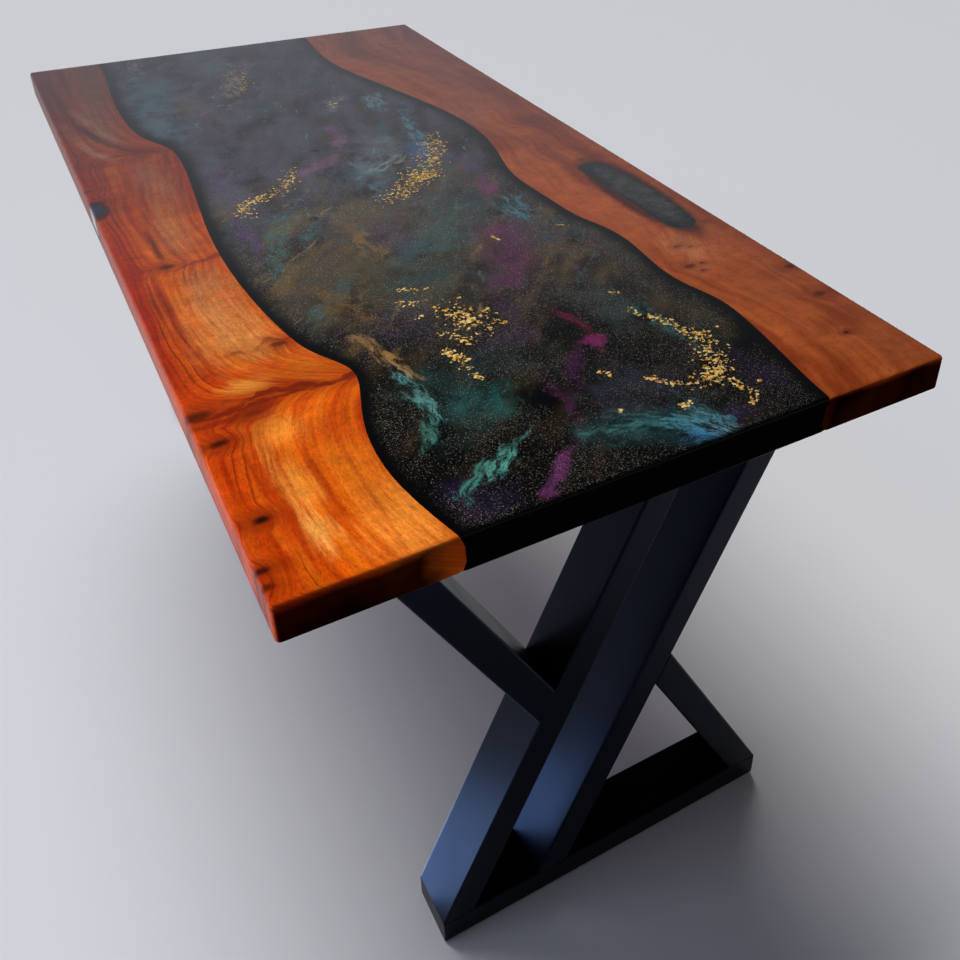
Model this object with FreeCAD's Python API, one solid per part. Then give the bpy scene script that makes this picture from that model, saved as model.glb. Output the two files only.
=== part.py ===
import FreeCAD, Part
import math
import os
from FreeCAD import Vector

# Dining table: a live-edge plank top with a resin river, on two welded tube frames.
# Millimetres. X runs across the table, Y along it, Z up. The origin is on the floor under its middle.

# Table top
table_height = 750.0
top_length = 1540.0
top_width = 760.0
top_thickness = 45.0
corner_radius = 5.0
upper_round = 4.5
lower_round = 4.5
rim_limit_share = 0.9

# Live edges, far end first: (share of the half length, share of the half width)
left_edge_shares = (
    (1.03, -0.69), (0.86, -0.69), (0.66, -0.72), (0.53, -0.72), (0.42, -0.69), (0.33, -0.62),
    (0.25, -0.61), (0.05, -0.645), (-0.10, -0.675), (-0.35, -0.675), (-0.48, -0.645), (-0.56, -0.60),
    (-0.625, -0.54), (-0.69, -0.565), (-0.76, -0.605), (-0.85, -0.62), (-0.94, -0.595), (-1.03, -0.55),
)
right_edge_shares = (
    (1.03, 0.41), (0.88, 0.38), (0.72, 0.38), (0.56, 0.45), (0.40, 0.535), (0.22, 0.605),
    (0.13, 0.61), (0.0, 0.57), (-0.11, 0.52), (-0.26, 0.53), (-0.34, 0.545), (-0.41, 0.585),
    (-0.47, 0.597), (-0.57, 0.58), (-0.64, 0.588), (-0.71, 0.623), (-0.77, 0.622), (-0.88, 0.59),
    (-1.03, 0.553),
)
edge_swell = 6.0
# How the live edge swells down its thickness: (share of the thickness, share of the swell)
swell_shares = ((0.0, 0.15), (0.3, 1.0), (0.7, 0.85), (1.0, 0.0))
notch_depth = 4.0
notch_in_wood = 9.0
notch_in_resin = 13.0
notch_root = 0.4

# Knot hole in the right slab, in four arcs that start from its far inner corner: shares as above
knot_shares = (
    (-0.155, 0.77), (-0.135, 0.83), (-0.17, 0.90), (-0.30, 0.926),
    (-0.45, 0.91), (-0.476, 0.865), (-0.455, 0.79), (-0.30, 0.782),
)

# Void in the outer edge of the left slab
void_length = 44.0
void_depth = 17.0
void_height = 30.0
void_place_share = 0.09

# Leg frame of rectangular tube
tube_width = 40.0
tube_depth = 75.0
tube_wall = 2.5
tube_corner = 3.0
rail_length = 500.0
bar_gap = 84.0
bar_angle = 65.4
strut_angle = 61.0
end_setback = 72.0
end_plate_thickness = 4.0
end_plate_clearance = 0.1
pad_length = 60.0
pad_width = 56.0
pad_thickness = 2.0
pad_inset = 12.0

# Mounting plate, and the flanged hexagon screws on both sides of the tube that hold it to the slabs
plate_thickness = 6.0
plate_end_room = 30.0
plate_side_room = 12.0
screw_spread_share = 0.79
screw_to_tube = 16.0
screw_diameter = 8.0
screw_length = 40.0
screw_head_width = 13.0
screw_head_height = 6.0
flange_diameter = 18.0
flange_height = 2.0
slot_length = 14.0
slot_clearance = 1.0
hole_clearance = 0.1
hole_end_room = 2.0

overrun = 1.0

half_length = top_length / 2
half_width = top_width / 2
underside = table_height - top_thickness
frame_y = -half_length + end_setback + tube_depth / 2
screw_spacing_x = top_width * screw_spread_share
screw_spacing_y = tube_depth + 2 * screw_to_tube
plate_length = screw_spacing_x + 2 * plate_end_room
plate_width = screw_spacing_y + 2 * plate_side_room
up = Vector(0, 0, 1)
across = Vector(1, 0, 0)
along = Vector(0, 1, 0)
middle = Vector(0, 0, 0)


def save(name, *solids):
    shape = solids[0] if len(solids) == 1 else Part.makeCompound(list(solids))
    shape.exportStep("parts/" + name + ".step")


def upright_edges(box):
    return [edge for edge in box.Edges if edge.Vertexes[0].Z != edge.Vertexes[-1].Z]


def rounded_box(width, depth, height, radius):
    # A block on the XY plane, centred on the Z axis, with its upright corners rounded.
    box = Part.makeBox(width, depth, height, Vector(-width / 2, -depth / 2, 0))
    return box.makeFillet(radius, upright_edges(box))


def turned(shape, centre, axis, angle):
    copy = shape.copy()
    copy.rotate(centre, axis, angle)
    return copy


def moved(shape, offset):
    copy = shape.copy()
    copy.translate(offset)
    return copy


# Table top: one rounded board, shared out between the slabs and the river


def top_board():
    board = rounded_box(top_width, top_length, top_thickness, corner_radius)
    largest = corner_radius * rim_limit_share
    upper_rim = max(board.Faces, key=lambda face: face.CenterOfMass.z).Edges
    board = board.makeFillet(min(upper_round, largest), upper_rim)
    lower_rim = min(board.Faces, key=lambda face: face.CenterOfMass.z).Edges
    board = board.makeFillet(min(lower_round, largest), lower_rim)
    return moved(board, up * underside)


def edge_points(edge_shares, shift, height):
    return [Vector(x * half_width + shift, y * half_length, height) for y, x in edge_shares]


def ribbon(first_points, second_points):
    # A closed outline between two wavy lines that run the same way.
    first = Part.BSplineCurve()
    first.interpolate(first_points)
    second = Part.BSplineCurve()
    second.interpolate(second_points[::-1])
    near_side = Part.LineSegment(first_points[-1], second_points[-1])
    far_side = Part.LineSegment(second_points[0], first_points[0])
    return Part.Wire([line.toShape() for line in (first, near_side, second, far_side)])


def river_form():
    # The live edges swell into the resin part way down and draw back towards both faces.
    reach = top_thickness + 2 * overrun
    outlines = []
    for height_share, swell_share in swell_shares:
        height = underside - overrun + reach * height_share
        swell = edge_swell * swell_share
        left = edge_points(left_edge_shares, swell, height)
        right = edge_points(right_edge_shares, -swell, height)
        outlines.append(ribbon(left, right))
    return Part.makeLoft(outlines, True, True)


def joint_notch(edge_shares, resin_side):
    # The shallow groove along the underside, where the slab's lower arris is eased.
    joint = edge_swell * swell_shares[0][1] * resin_side
    mouth_height = underside - overrun
    mouth = ribbon(
        edge_points(edge_shares, joint - notch_in_wood * resin_side, mouth_height),
        edge_points(edge_shares, joint + notch_in_resin * resin_side, mouth_height),
    )
    root_height = underside + notch_depth
    root = ribbon(
        edge_points(edge_shares, joint - notch_root / 2 * resin_side, root_height),
        edge_points(edge_shares, joint + notch_root / 2 * resin_side, root_height),
    )
    return Part.makeLoft([mouth, root], True, True)


def knot_form():
    base = underside - overrun
    corners = edge_points(knot_shares + knot_shares[:1], 0, base)
    arcs = [Part.Arc(*corners[start:start + 3]).toShape() for start in range(0, len(knot_shares), 2)]
    return Part.Face(Part.Wire(arcs)).extrude(up * (top_thickness + 2 * overrun))


def void_form():
    # A round bite out of the outer edge, open at the top face.
    radius = (void_length ** 2 / 4 + void_depth ** 2) / (2 * void_depth)
    x = -half_width + void_depth - radius
    y = void_place_share * half_length
    base = Vector(x, y, table_height - void_height)
    return Part.makeCylinder(radius, void_height + overrun, base, up)


def screw_places():
    # Points on the underside of the top, above the near frame.
    corners = [(-1, -1), (-1, 1), (1, -1), (1, 1)]
    return [
        Vector(side * screw_spacing_x / 2, frame_y + end * screw_spacing_y / 2, underside)
        for side, end in corners
    ]


def make_top():
    board = top_board()
    river_space = river_form()
    notches = [joint_notch(left_edge_shares, 1), joint_notch(right_edge_shares, -1)]
    slabs = sorted(board.cut(river_space).Solids, key=lambda solid: solid.CenterOfMass.x)
    left, right = [slab.cut(notches) for slab in slabs]
    river = board.common(river_space).cut(notches)

    hole_radius = screw_diameter / 2 + hole_clearance
    hole_depth = screw_length - plate_thickness + hole_end_room
    near_holes = [
        Part.makeCylinder(hole_radius, hole_depth + overrun, place - up * overrun, up)
        for place in screw_places()
    ]
    holes = near_holes + [turned(hole, middle, up, 180) for hole in near_holes]

    knot = knot_form()
    void = void_form()
    save("left_slab", left.cut(holes + [void]))
    save("right_slab", right.cut(holes + [knot]))
    save("resin_river", river)
    save("oval_inlay", right.common(knot))
    save("edge_void_fill", left.common(void))


# Leg frame: its lower half, and the same pieces turned half a turn for the upper half

foot_base = pad_thickness
foot_top = foot_base + tube_width
head_base = underside - plate_thickness - tube_width
rise = head_base - foot_top
bar_lean = math.radians(bar_angle)
strut_lean = math.radians(strut_angle)
pair_span = 2 * tube_width + bar_gap
foot_start = -(rise / math.tan(bar_lean) + pair_span / math.sin(bar_lean)) / 2
foot_end = foot_start + rail_length
frame_centre = Vector(0, 0, (foot_top + head_base) / 2)


def tube(length):
    # A hollow rectangular tube that rises from the XY plane.
    outside = rounded_box(tube_width, tube_depth, length, tube_corner)
    width = tube_width - 2 * tube_wall
    depth = tube_depth - 2 * tube_wall
    corner = Vector(-width / 2, -depth / 2, -overrun)
    return outside.cut(Part.makeBox(width, depth, length + 2 * overrun, corner))


def between_rails():
    reach = top_width + rail_length
    corner = Vector(-reach, -tube_depth, foot_top)
    return Part.makeBox(2 * reach, 2 * tube_depth, rise, corner)


def sloping_tube(corner, lean, side):
    # A tube whose outer face starts at a corner of the foot rail and leans away from it by the given side.
    length = 2 * rise / math.sin(lean)
    inward = Vector(side * math.sin(lean), 0, -math.cos(lean)) * (tube_width / 2)
    piece = turned(tube(length), middle, along, side * (90 - math.degrees(lean)))
    back = Vector(side * math.cos(lean), 0, math.sin(lean)) * (length / 4)
    return moved(piece, corner + inward - back)


def left_bar():
    corner = Vector(foot_start, 0, foot_top)
    return sloping_tube(corner, bar_lean, 1).common(between_rails())


def lower_strut():
    corner = Vector(foot_end, 0, foot_top)
    piece = sloping_tube(corner, strut_lean, -1).common(between_rails())
    # The strut's upper end is cut to the face of the right bar.
    size = 2 * rise
    block = Part.makeBox(size, size, 2 * size, Vector(-size, -size / 2, -size))
    block = turned(block, middle, along, 90 - bar_angle)
    bar_face = Vector(foot_start + pair_span / math.sin(bar_lean), 0, foot_top)
    return piece.cut(moved(block, bar_face))


def foot_rail():
    piece = turned(tube(rail_length), middle, along, 90)
    return moved(piece, Vector(foot_start, 0, foot_base + tube_width / 2))


def foot_end_plates():
    # Flat plates let into the tube, flush with its ends.
    inset = tube_wall + end_plate_clearance
    height = tube_width - 2 * inset
    depth = tube_depth - 2 * inset
    starts = (foot_start, foot_end - end_plate_thickness)
    return [
        Part.makeBox(end_plate_thickness, depth, height, Vector(x, -depth / 2, foot_base + inset))
        for x in starts
    ]


def floor_pads():
    starts = (foot_start + pad_inset, foot_end - pad_inset - pad_length)
    corners = [Vector(x, -pad_width / 2, 0) for x in starts]
    return [Part.makeBox(pad_length, pad_width, pad_thickness, corner) for corner in corners]


def slot_form(place):
    radius = (screw_diameter + slot_clearance) / 2
    straight = slot_length - 2 * radius
    height = plate_thickness + 2 * overrun
    base = place - up * (plate_thickness + overrun)
    slot = Part.makeBox(straight, 2 * radius, height, base - Vector(straight / 2, radius, 0))
    for side in (-1, 1):
        slot = slot.fuse(Part.makeCylinder(radius, height, base + across * (side * straight / 2), up))
    return slot


def mounting_plate():
    corner = Vector(-plate_length / 2, frame_y - plate_width / 2, underside - plate_thickness)
    plate = Part.makeBox(plate_length, plate_width, plate_thickness, corner)
    return plate.cut([slot_form(place) for place in screw_places()])


def screw(place):
    # The shank stands for the thread's outside, and the flange bears on the plate.
    seat = place - up * plate_thickness
    shank = Part.makeCylinder(screw_diameter / 2, screw_length, seat, up)
    flange = Part.makeCylinder(flange_diameter / 2, flange_height, seat - up * flange_height, up)
    base = seat - up * screw_head_height
    turns = [math.radians(60 * step) for step in range(7)]
    corner = screw_head_width / math.sqrt(3)
    outline = [base + Vector(math.cos(turn), math.sin(turn), 0) * corner for turn in turns]
    head = Part.Face(Part.makePolygon(outline)).extrude(up * screw_head_height)
    return head.fuse([flange, shank]).removeSplitter()


def make_frames():
    near = along * frame_y
    halves = (
        ("foot_rail", "top_rail", [foot_rail()]),
        ("foot_end_plates", "top_end_plates", foot_end_plates()),
        ("left_bar", "right_bar", [left_bar()]),
        ("lower_strut", "upper_strut", [lower_strut()]),
    )
    pieces = {"floor_pads": [moved(pad, near) for pad in floor_pads()]}
    for lower_name, upper_name, solids in halves:
        pieces[lower_name] = [moved(solid, near) for solid in solids]
        pieces[upper_name] = [moved(turned(solid, frame_centre, along, 180), near) for solid in solids]

    pieces["mounting_plate"] = [mounting_plate()]
    pieces["screws"] = [screw(place) for place in screw_places()]

    for name, solids in pieces.items():
        save("near_" + name, *solids)
        save("far_" + name, *[turned(solid, middle, up, 180) for solid in solids])


os.makedirs("parts", exist_ok=True)
make_top()
make_frames()
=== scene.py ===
import math
import random
from functools import partial

import bpy
import numpy as np
from mathutils import Euler, Matrix, Vector


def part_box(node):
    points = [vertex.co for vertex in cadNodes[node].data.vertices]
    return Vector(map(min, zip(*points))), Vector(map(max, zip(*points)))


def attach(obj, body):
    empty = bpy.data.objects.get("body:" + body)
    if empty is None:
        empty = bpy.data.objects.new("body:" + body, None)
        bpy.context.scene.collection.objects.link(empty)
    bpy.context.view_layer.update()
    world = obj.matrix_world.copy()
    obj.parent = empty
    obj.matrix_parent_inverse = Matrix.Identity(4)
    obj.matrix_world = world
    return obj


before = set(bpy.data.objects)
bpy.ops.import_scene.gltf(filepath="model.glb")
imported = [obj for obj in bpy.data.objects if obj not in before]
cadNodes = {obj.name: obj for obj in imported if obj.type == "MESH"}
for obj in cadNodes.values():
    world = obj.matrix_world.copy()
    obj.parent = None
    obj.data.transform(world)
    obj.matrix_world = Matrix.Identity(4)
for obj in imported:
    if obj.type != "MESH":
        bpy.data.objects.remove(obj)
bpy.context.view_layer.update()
bpy.ops.object.select_all(action="DESELECT")  # loading leaves the table's own pieces selected

mm = 0.001
halfWidth, halfLength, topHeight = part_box("right_slab")[1]
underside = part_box("right_slab")[0].z
print("table loaded:", len(cadNodes), "pieces")


def linear(hexColour):
    channels = [int(hexColour[start:start + 2], 16) / 255 for start in (1, 3, 5)]
    return [c / 12.92 if c <= 0.04045 else ((c + 0.055) / 1.055) ** 2.4 for c in channels] + [1.0]


def newMaterial(name):
    material = bpy.data.materials.new(name)
    material.use_nodes = True
    material.node_tree.nodes.clear()
    return material, partial(addNode, material.node_tree)


# settings that many nodes share
smooth = {"interpolation_type": "SMOOTHSTEP"}
plus = {"operation": "ADD"}
times = {"operation": "MULTIPLY"}
timesPlus = {"operation": "MULTIPLY_ADD"}
minus = {"operation": "SUBTRACT"}
toPower = {"operation": "POWER"}
absolute = {"operation": "ABSOLUTE"}
lengthOf = {"operation": "LENGTH"}
larger = {"operation": "MAXIMUM"}
scaled = {"operation": "SCALE"}
placed = {"vector_type": "TEXTURE"}
blend = {"data_type": "RGBA"}


def addNode(tree, kind, settings={}, inputs={}, stops=(), curve=(), mapping={}):
    made = tree.nodes.new("ShaderNode" + kind)
    for name, value in settings.items():
        setattr(made, name, value)
    for key, value in inputs.items():
        if isinstance(value, bpy.types.NodeSocket):
            tree.links.new(value, made.inputs[key])
        else:
            made.inputs[key].default_value = value
    for index, (position, colour) in enumerate(stops):
        ramp = made.color_ramp.elements
        stop = ramp[index] if index < 2 else ramp.new(position)
        stop.position = position
        stop.color = linear(colour)
    for index, (position, value) in enumerate(curve):
        points = made.mapping.curves[0].points
        if index < 2:
            points[index].location = (position, value)
        else:
            points.new(position, value)
    if curve:
        made.mapping.update()
    for name, value in mapping.items():
        setattr(made.texture_mapping, name, value)
    return made.outputs


def liveEdge(side, stations=48):
    # the river's rim on the top face: (share of the length, share of the half width)
    skin = 0.1 * mm
    points = [v.co for v in cadNodes["resin_river"].data.vertices if v.co.z > topHeight - skin]
    rim = sorted((point.y, point.x * side) for point in points if point.x * side > 0)
    lengths = [y for y, x in rim]
    widths = [x for y, x in rim]
    line = []
    for step in range(stations + 1):
        share = step / stations
        width = np.interp((2 * share - 1) * halfLength, lengths, widths)
        line.append((share, width / halfWidth))
    return [line[0], line[-1]] + line[1:-1]  # a new curve node already has its two ends


# Slabs: camphor-like hardwood, planed, sanded and flooded with clear epoxy. The eye gets orange heartwood
# with dark growth lines that follow the live edge and crowd round old branches, under one flat gloss.
# Places and sizes are in millimetres on the top. Counts are lines across the slab's width. Shares across
# the slab go from 0 on the live edge to 1 on the straight outer side.
# Growth: colour, noise. Figure: scale across, length, strength. Far-end shade: share of the length, tint of
# a painted shade that darkens and greys the wood towards the far end.
# Burns: x, y, half width and half length of the stain round a fill. Knots: x, y, size, strength.
# Glows: x, y, half width, half length, colour, strength and, where one is turned, its degrees.
# Outer: colour and strength of the outer side's shade. Line field: the lines' strength by the live edge.
# Live-edge lift: how far across and how strongly the painted shade of the sawn ends is lifted beside the
# live edge.
# Lit rim: how far under the top the painted shade of the sawn ends gives way to a painted lit rim.
leftSlab = {
    "side": -1,
    "growth": (
        ("#9A2C04", 0.30), ("#B64006", 0.42), ("#CE560A", 0.52), ("#DA6C12", 0.62), ("#BE4608", 0.74),
    ),
    "growthCount": 5.0,
    "lineCount": 7.0,
    "lineColour": "#701E06",
    "lineStrength": 0.85,
    "lineField": 0.16,
    "figure": (
        (1.4, 38, 0.14), (19, 150, 0.13), (70, 90, 0.08), (9, 16, 0.10), (42, 6, 0.13), (110, 2.5, 0.13),
    ),
    "burns": ((-376, 66, 17, 30),),
    "wander": 0.13,
    "outer": ("#A42604", 0.6),
    "farEndShade": (
        (0.16, "#FFFFFF"), (0.90, "#9C98A6"), (0.24, "#EAE4E2"), (0.40, "#DED6D6"), (0.55, "#C8C2C8"),
    ),
    "liveEdgeLift": (0.30, 0.9),
    "litRim": 3,
    "branches": (
        {"y": -484, "above": 34, "below": 12, "pull": 0.45},
        {"y": 262, "above": 60, "below": 20, "pull": 0.25},
        {"y": -150, "above": 30, "below": 30, "pull": 0.06},
    ),
    "bands": (
        {"y": -484, "from": -0.1, "to": 1.2, "height": 24, "strength": 0.95},
        {"y": -505, "from": 0.50, "to": 1.2, "height": 26, "strength": 0.70},
        {"y": -390, "from": -0.1, "to": 0.55, "height": 12, "strength": 0.75},
        {"y": -152, "from": -0.1, "to": 0.62, "height": 9, "strength": 0.70},
        {"y": -98, "from": 0.70, "to": 1.2, "height": 7, "strength": 0.60},
        {"y": 258, "from": -0.1, "to": 0.60, "height": 16, "strength": 0.85},
        {"y": 225, "from": 0.40, "to": 1.2, "height": 20, "strength": 0.70},
    ),
    "knots": (
        (-356, -666, 9, 1.0), (-361, -541, 9, 0.9), (-374, -728, 8, 0.9), (-376, -748, 7, 0.7),
        (-368, -486, 13, 0.75), (-318, -508, 9, 0.35), (-258, -391, 9, 0.7), (-325, -148, 9, 0.7),
        (-368, 92, 10, 0.9), (-376, 140, 8, 0.6),
    ),
    "glows": (
        (-304, -548, 32, 40, "#E28C32", 0.75), (-314, -635, 17, 66, "#E8983E", 0.75),
        (-316, -706, 17, 34, "#EEA850", 0.8), (-312, -457, 30, 18, "#EC9C3C", 0.85),
        (-304, -360, 46, 66, "#E09044", 0.85), (-240, -440, 30, 40, "#D87420", 0.6),
        (-344, -610, 4, 70, "#8E2604", 0.75), (-333, -700, 4, 46, "#962A06", 0.75),
        (-366, -600, 4, 60, "#8A2204", 0.7), (-354, -716, 4, 36, "#8A2204", 0.7),
        (-320, -600, 3, 60, "#A83C0A", 0.6), (-303, -690, 3, 40, "#A8400C", 0.6),
        (-246, -730, 46, 70, "#F09638", 0.8), (-258, -640, 34, 80, "#DE7A20", 0.6),
        (-264, -572, 34, 30, "#B2400C", 0.65), (-290, -430, 34, 14, "#BE5018", 0.55),
        (-322, -502, 34, 24, "#8A2808", 0.65), (-291, -650, 5, 80, "#A83C08", 0.75),
        (-260, -660, 3, 120, "#B04A10", 0.55), (-340, -690, 12, 60, "#B83C0A", 0.6),
        (-300, -290, 52, 100, "#E29A54", 0.75), (-278, -372, 34, 54, "#EC9C4C", 0.7),
        (-300, -20, 12, 90, "#D08040", 0.7), (-280, 60, 30, 110, "#B86A3C", 0.55),
        (-318, 420, 20, 140, "#C8844C", 0.7), (-290, 650, 34, 150, "#B87A4C", 0.7),
        (-306, 500, 30, 170, "#C08060", 0.6), (-353, 540, 12, 120, "#541A1C", 0.8),
        (-343, 415, 12, 80, "#5C1C1A", 0.75, 12), (-327, 352, 12, 64, "#641E1A", 0.7, 17),
        (-307, 302, 13, 54, "#6C2018", 0.7, 27), (-284, 270, 12, 40, "#702016", 0.65, 54),
        (-360, 385, 9, 90, "#D88C58", 0.8, 8), (-350, 322, 10, 60, "#E09868", 0.9, 14),
        (-337, 278, 12, 44, "#E8A078", 0.9, 24), (-331, 450, 10, 90, "#D8986E", 0.75, 13),
        (-314, 368, 11, 72, "#D8986E", 0.75, 16), (-327, -84, 7, 90, "#641E0C", 0.9),
        (-347, -246, 7, 100, "#842C0C", 0.85), (-358, -250, 5, 110, "#742208", 0.8),
        (-296, -62, 30, 100, "#D08850", 0.65), (-284, 140, 34, 100, "#C07A58", 0.6),
        (-290, -214, 40, 60, "#CC8850", 0.6),
    ),
}
rightSlab = {
    "side": 1,
    "growth": (
        ("#7E2E0E", 0.28), ("#A4461A", 0.42), ("#C8662E", 0.54), ("#B85626", 0.64), ("#8C3814", 0.76),
    ),
    "growthCount": 3.0,
    "lineCount": 6.0,
    "lineColour": "#7A2A10",
    "lineStrength": 0.16,
    "lineField": 0.6,
    "figure": ((1.4, 60, 0.07), (34, 90, 0.05), (4, 34, 0.13), (9, 14, 0.08)),
    "burns": ((321, -237, 36, 141),),
    "wander": 0.26,
    "outer": ("#8A3A1C", 0.35),
    "farEndShade": ((0.10, "#FFFFFF"), (0.90, "#F0ECF0")),
    "liveEdgeLift": (0.05, 0.1),
    "litRim": 1,
    "branches": (
        {"y": -455, "above": 90, "below": 120, "pull": 0.20},
        {"y": 120, "above": 120, "below": 90, "pull": 0.18},
    ),
    "bands": (
        {"y": 40, "from": 0.2, "to": 0.8, "height": 30, "strength": 0.30},
        {"y": -500, "from": 0.0, "to": 0.5, "height": 26, "strength": 0.25},
    ),
    "knots": (
        (274, -408, 6, 0.50), (289, -416, 4, 0.50), (256, -461, 8, 0.70), (275, -461, 3, 0.80),
        (264, -478, 4, 0.70), (370, -522, 8, 0.65), (354, -595, 9, 0.65), (318, -679, 4, 0.85),
        (352, -362, 5, 0.40),
    ),
    "glows": (
        (262, -235, 34, 130, "#CC6A34", 0.65), (285, -412, 38, 50, "#D88858", 0.65),
        (262, -470, 24, 24, "#CC7C50", 0.5), (300, 330, 60, 200, "#B8684A", 0.4),
        (330, -655, 40, 34, "#8A3412", 0.6), (350, -710, 40, 50, "#BE6A34", 0.5),
        (300, -560, 40, 60, "#B45C30", 0.4), (290, -20, 44, 60, "#84361A", 0.55),
        (340, 100, 40, 50, "#84381E", 0.45), (250, 180, 40, 110, "#C07A58", 0.5),
    ),
}
# Grain that both slabs share, in millimetres.
grain = {
    "wave": 250,  # slow wandering of the growth lines
    "mottle": 60,
    "sway": 32,  # of the branch bands
    "strand": 11,  # spacing of the bands' strands
    "ring": 500,  # rings, lines, fibres and pores: length along the slab
    "line": 420,
    "fibre": 70,
    "pore": 9,
    "glowReach": 2.4,  # a glow fades out at this many times its half size
    "fray": 18,  # of the painted lit upper rim of the ends, and the height over which it fades
    "fade": 17,
    "knotColour": "#2A0C06",
    "burnColour": "#30120A",
    # end grain's deeper red, also used as the colour of the painted shade on the ends
    "soakedAndShadedColour": "#8C260A",
}


def acrossSlab(add, look, x, lengthShare):
    # 0 on the live edge and 1 on the straight outer side
    edgeShare = add("FloatCurve", {}, {1: lengthShare}, curve=liveEdge(look["side"]))[0]
    edge = add("Math", times, {0: edgeShare, 1: halfWidth})[0]
    across = add("Math", times, {0: x, 1: look["side"]})[0]
    return add("MapRange", {"clamp": False}, {0: across, 1: edge, 2: halfWidth})[0]


def growthLayers(add, look, place, y, slabShare):
    # the layers wander slowly, and old branches pull them towards the live edge
    inner = add("MapRange", smooth, {0: slabShare, 1: 1.0, 2: 0.45})[0]
    slow = add("TexNoise", {}, {0: place, 2: 1 / (grain["wave"] * mm), 3: 2.0})[0]
    wander = add("MapRange", {}, {0: slow, 3: -look["wander"], 4: look["wander"]})[0]
    growth = add("Math", plus, {0: slabShare, 1: wander})[0]
    for branch in look["branches"]:
        away = add("Math", minus, {0: y, 1: branch["y"] * mm})[0]
        above = add("Math", {"operation": "DIVIDE"}, {0: away, 1: branch["above"] * mm})[0]
        below = add("Math", {"operation": "DIVIDE"}, {0: away, 1: -branch["below"] * mm})[0]
        reach = add("Math", larger, {0: above, 1: below})[0]
        fade = add("Math", toPower, {0: math.exp(-1), 1: reach})[0]
        pull = add("Math", times, {0: fade, 1: branch["pull"]})[0]
        growth = add("Math", timesPlus, {0: pull, 1: inner, 2: growth})[0]
    return growth


def branchBands(add, look, y, slabShare, fine):
    # dark wavy strands that old branches leave across the slab
    sway = grain["sway"] * mm
    bandShift = add("MapRange", {}, {0: fine, 3: -sway, 4: sway})[0]
    bandY = add("Math", plus, {0: y, 1: bandShift})[0]
    strandPlace = add("CombineXYZ", {}, {0: slabShare, 1: bandY})[0]
    strandPlace = add("VectorMath", times, {0: strandPlace, 1: (2.4, 1 / (grain["strand"] * mm), 1)})[0]
    strands = add("TexNoise", {}, {0: strandPlace, 2: 1.0, 3: 3.0, 4: 0.6})[0]
    bands = 0.0
    for strand in look["bands"]:
        height = strand["height"] * mm
        away = add("Math", minus, {0: bandY, 1: strand["y"] * mm})[0]
        away = add("Math", absolute, {0: away})[0]
        dense = add("MapRange", {}, {0: away, 1: height, 2: 0.0, 3: -0.22, 4: 0.26})[0]
        band = add("Math", plus, {0: strands, 1: dense})[0]
        band = add("MapRange", smooth, {0: band, 1: 0.46, 2: 0.74, 4: strand["strength"]})[0]
        halo = add("MapRange", smooth, {0: away, 1: 2.0 * height, 2: 0.0, 4: 0.4 * strand["strength"]})[0]
        band = add("Math", larger, {0: band, 1: halo})[0]
        begin = add("MapRange", smooth,
                    {0: slabShare, 1: strand["from"] - 0.1, 2: strand["from"] + 0.1})[0]
        end = add("MapRange", smooth, {0: slabShare, 1: strand["to"] + 0.15, 2: strand["to"] - 0.15})[0]
        band = add("Math", times, {0: band, 1: begin})[0]
        band = add("Math", times, {0: band, 1: end})[0]
        bands = add("Math", larger, {0: bands, 1: band})[0]
    return bands, strands


def knotMarks(add, look, place, strands, bands, growth):
    # knots push the layers a little aside and are dark in the middle
    knotShade = 0.0
    for knotX, knotY, size, strength in look["knots"]:
        local = add("Mapping", placed, {
            0: place, 1: (knotX * mm, knotY * mm, topHeight), 3: (1.7 * size * mm, size * mm, 1.0)})[0]
        away = add("VectorMath", lengthOf, {0: local})["Value"]
        ragged = add("Math", timesPlus, {0: strands, 1: 0.8, 2: away})[0]
        push = add("MapRange", smooth, {0: away, 1: 3.0, 2: 0.0, 4: 0.07})[0]
        growth = add("Math", plus, {0: growth, 1: push})[0]
        halo = add("MapRange", smooth, {0: ragged, 1: 3.4, 2: 0.8, 4: 0.7 * strength})[0]
        bands = add("Math", larger, {0: bands, 1: halo})[0]
        dark = add("MapRange", smooth, {0: ragged, 1: 1.3, 2: 0.6, 4: strength})[0]
        knotShade = add("Math", larger, {0: knotShade, 1: dark})[0]
    return bands, growth, knotShade


def glowPatches(add, look, place, layerPlace, rings, colour):
    # paler and darker patches, frayed along the grain. Each gradient carries its own mapping, because the
    # renderer runs out of room with a mapping node for every one.
    fibre = add("VectorMath", times, {0: layerPlace, 1: (26, 1 / (grain["fibre"] * mm), 1)})[0]
    fibre = add("TexNoise", {}, {0: fibre, 2: 1.0, 3: 5.0, 4: 0.62})[0]
    frayed = add("Math", timesPlus, {0: fibre, 1: 2.2, 2: rings})[0]
    plain = 0.0
    glowReach = grain["glowReach"]
    for glowX, glowY, glowWidth, glowLength, glowColour, strength, *turn in look["glows"]:
        ball = add("TexGradient", {"gradient_type": "SPHERICAL"}, {0: place}, mapping={
            "vector_type": "TEXTURE", "translation": (glowX * mm, glowY * mm, topHeight),
            "rotation": (0, 0, math.radians(sum(turn))),
            "scale": (glowReach * glowWidth * mm, glowReach * glowLength * mm, 1.0)})["Fac"]
        ragged = add("Math", timesPlus, {0: ball, 1: -glowReach, 2: frayed})[0]
        body = add("MapRange", smooth, {0: ragged, 1: 0.45, 2: -0.75, 4: strength})[0]
        colour = add("Mix", blend, {0: body, 6: colour, 7: linear(glowColour)})[2]
        plain = add("Math", larger, {0: plain, 1: body})[0]
    return colour, plain


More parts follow.
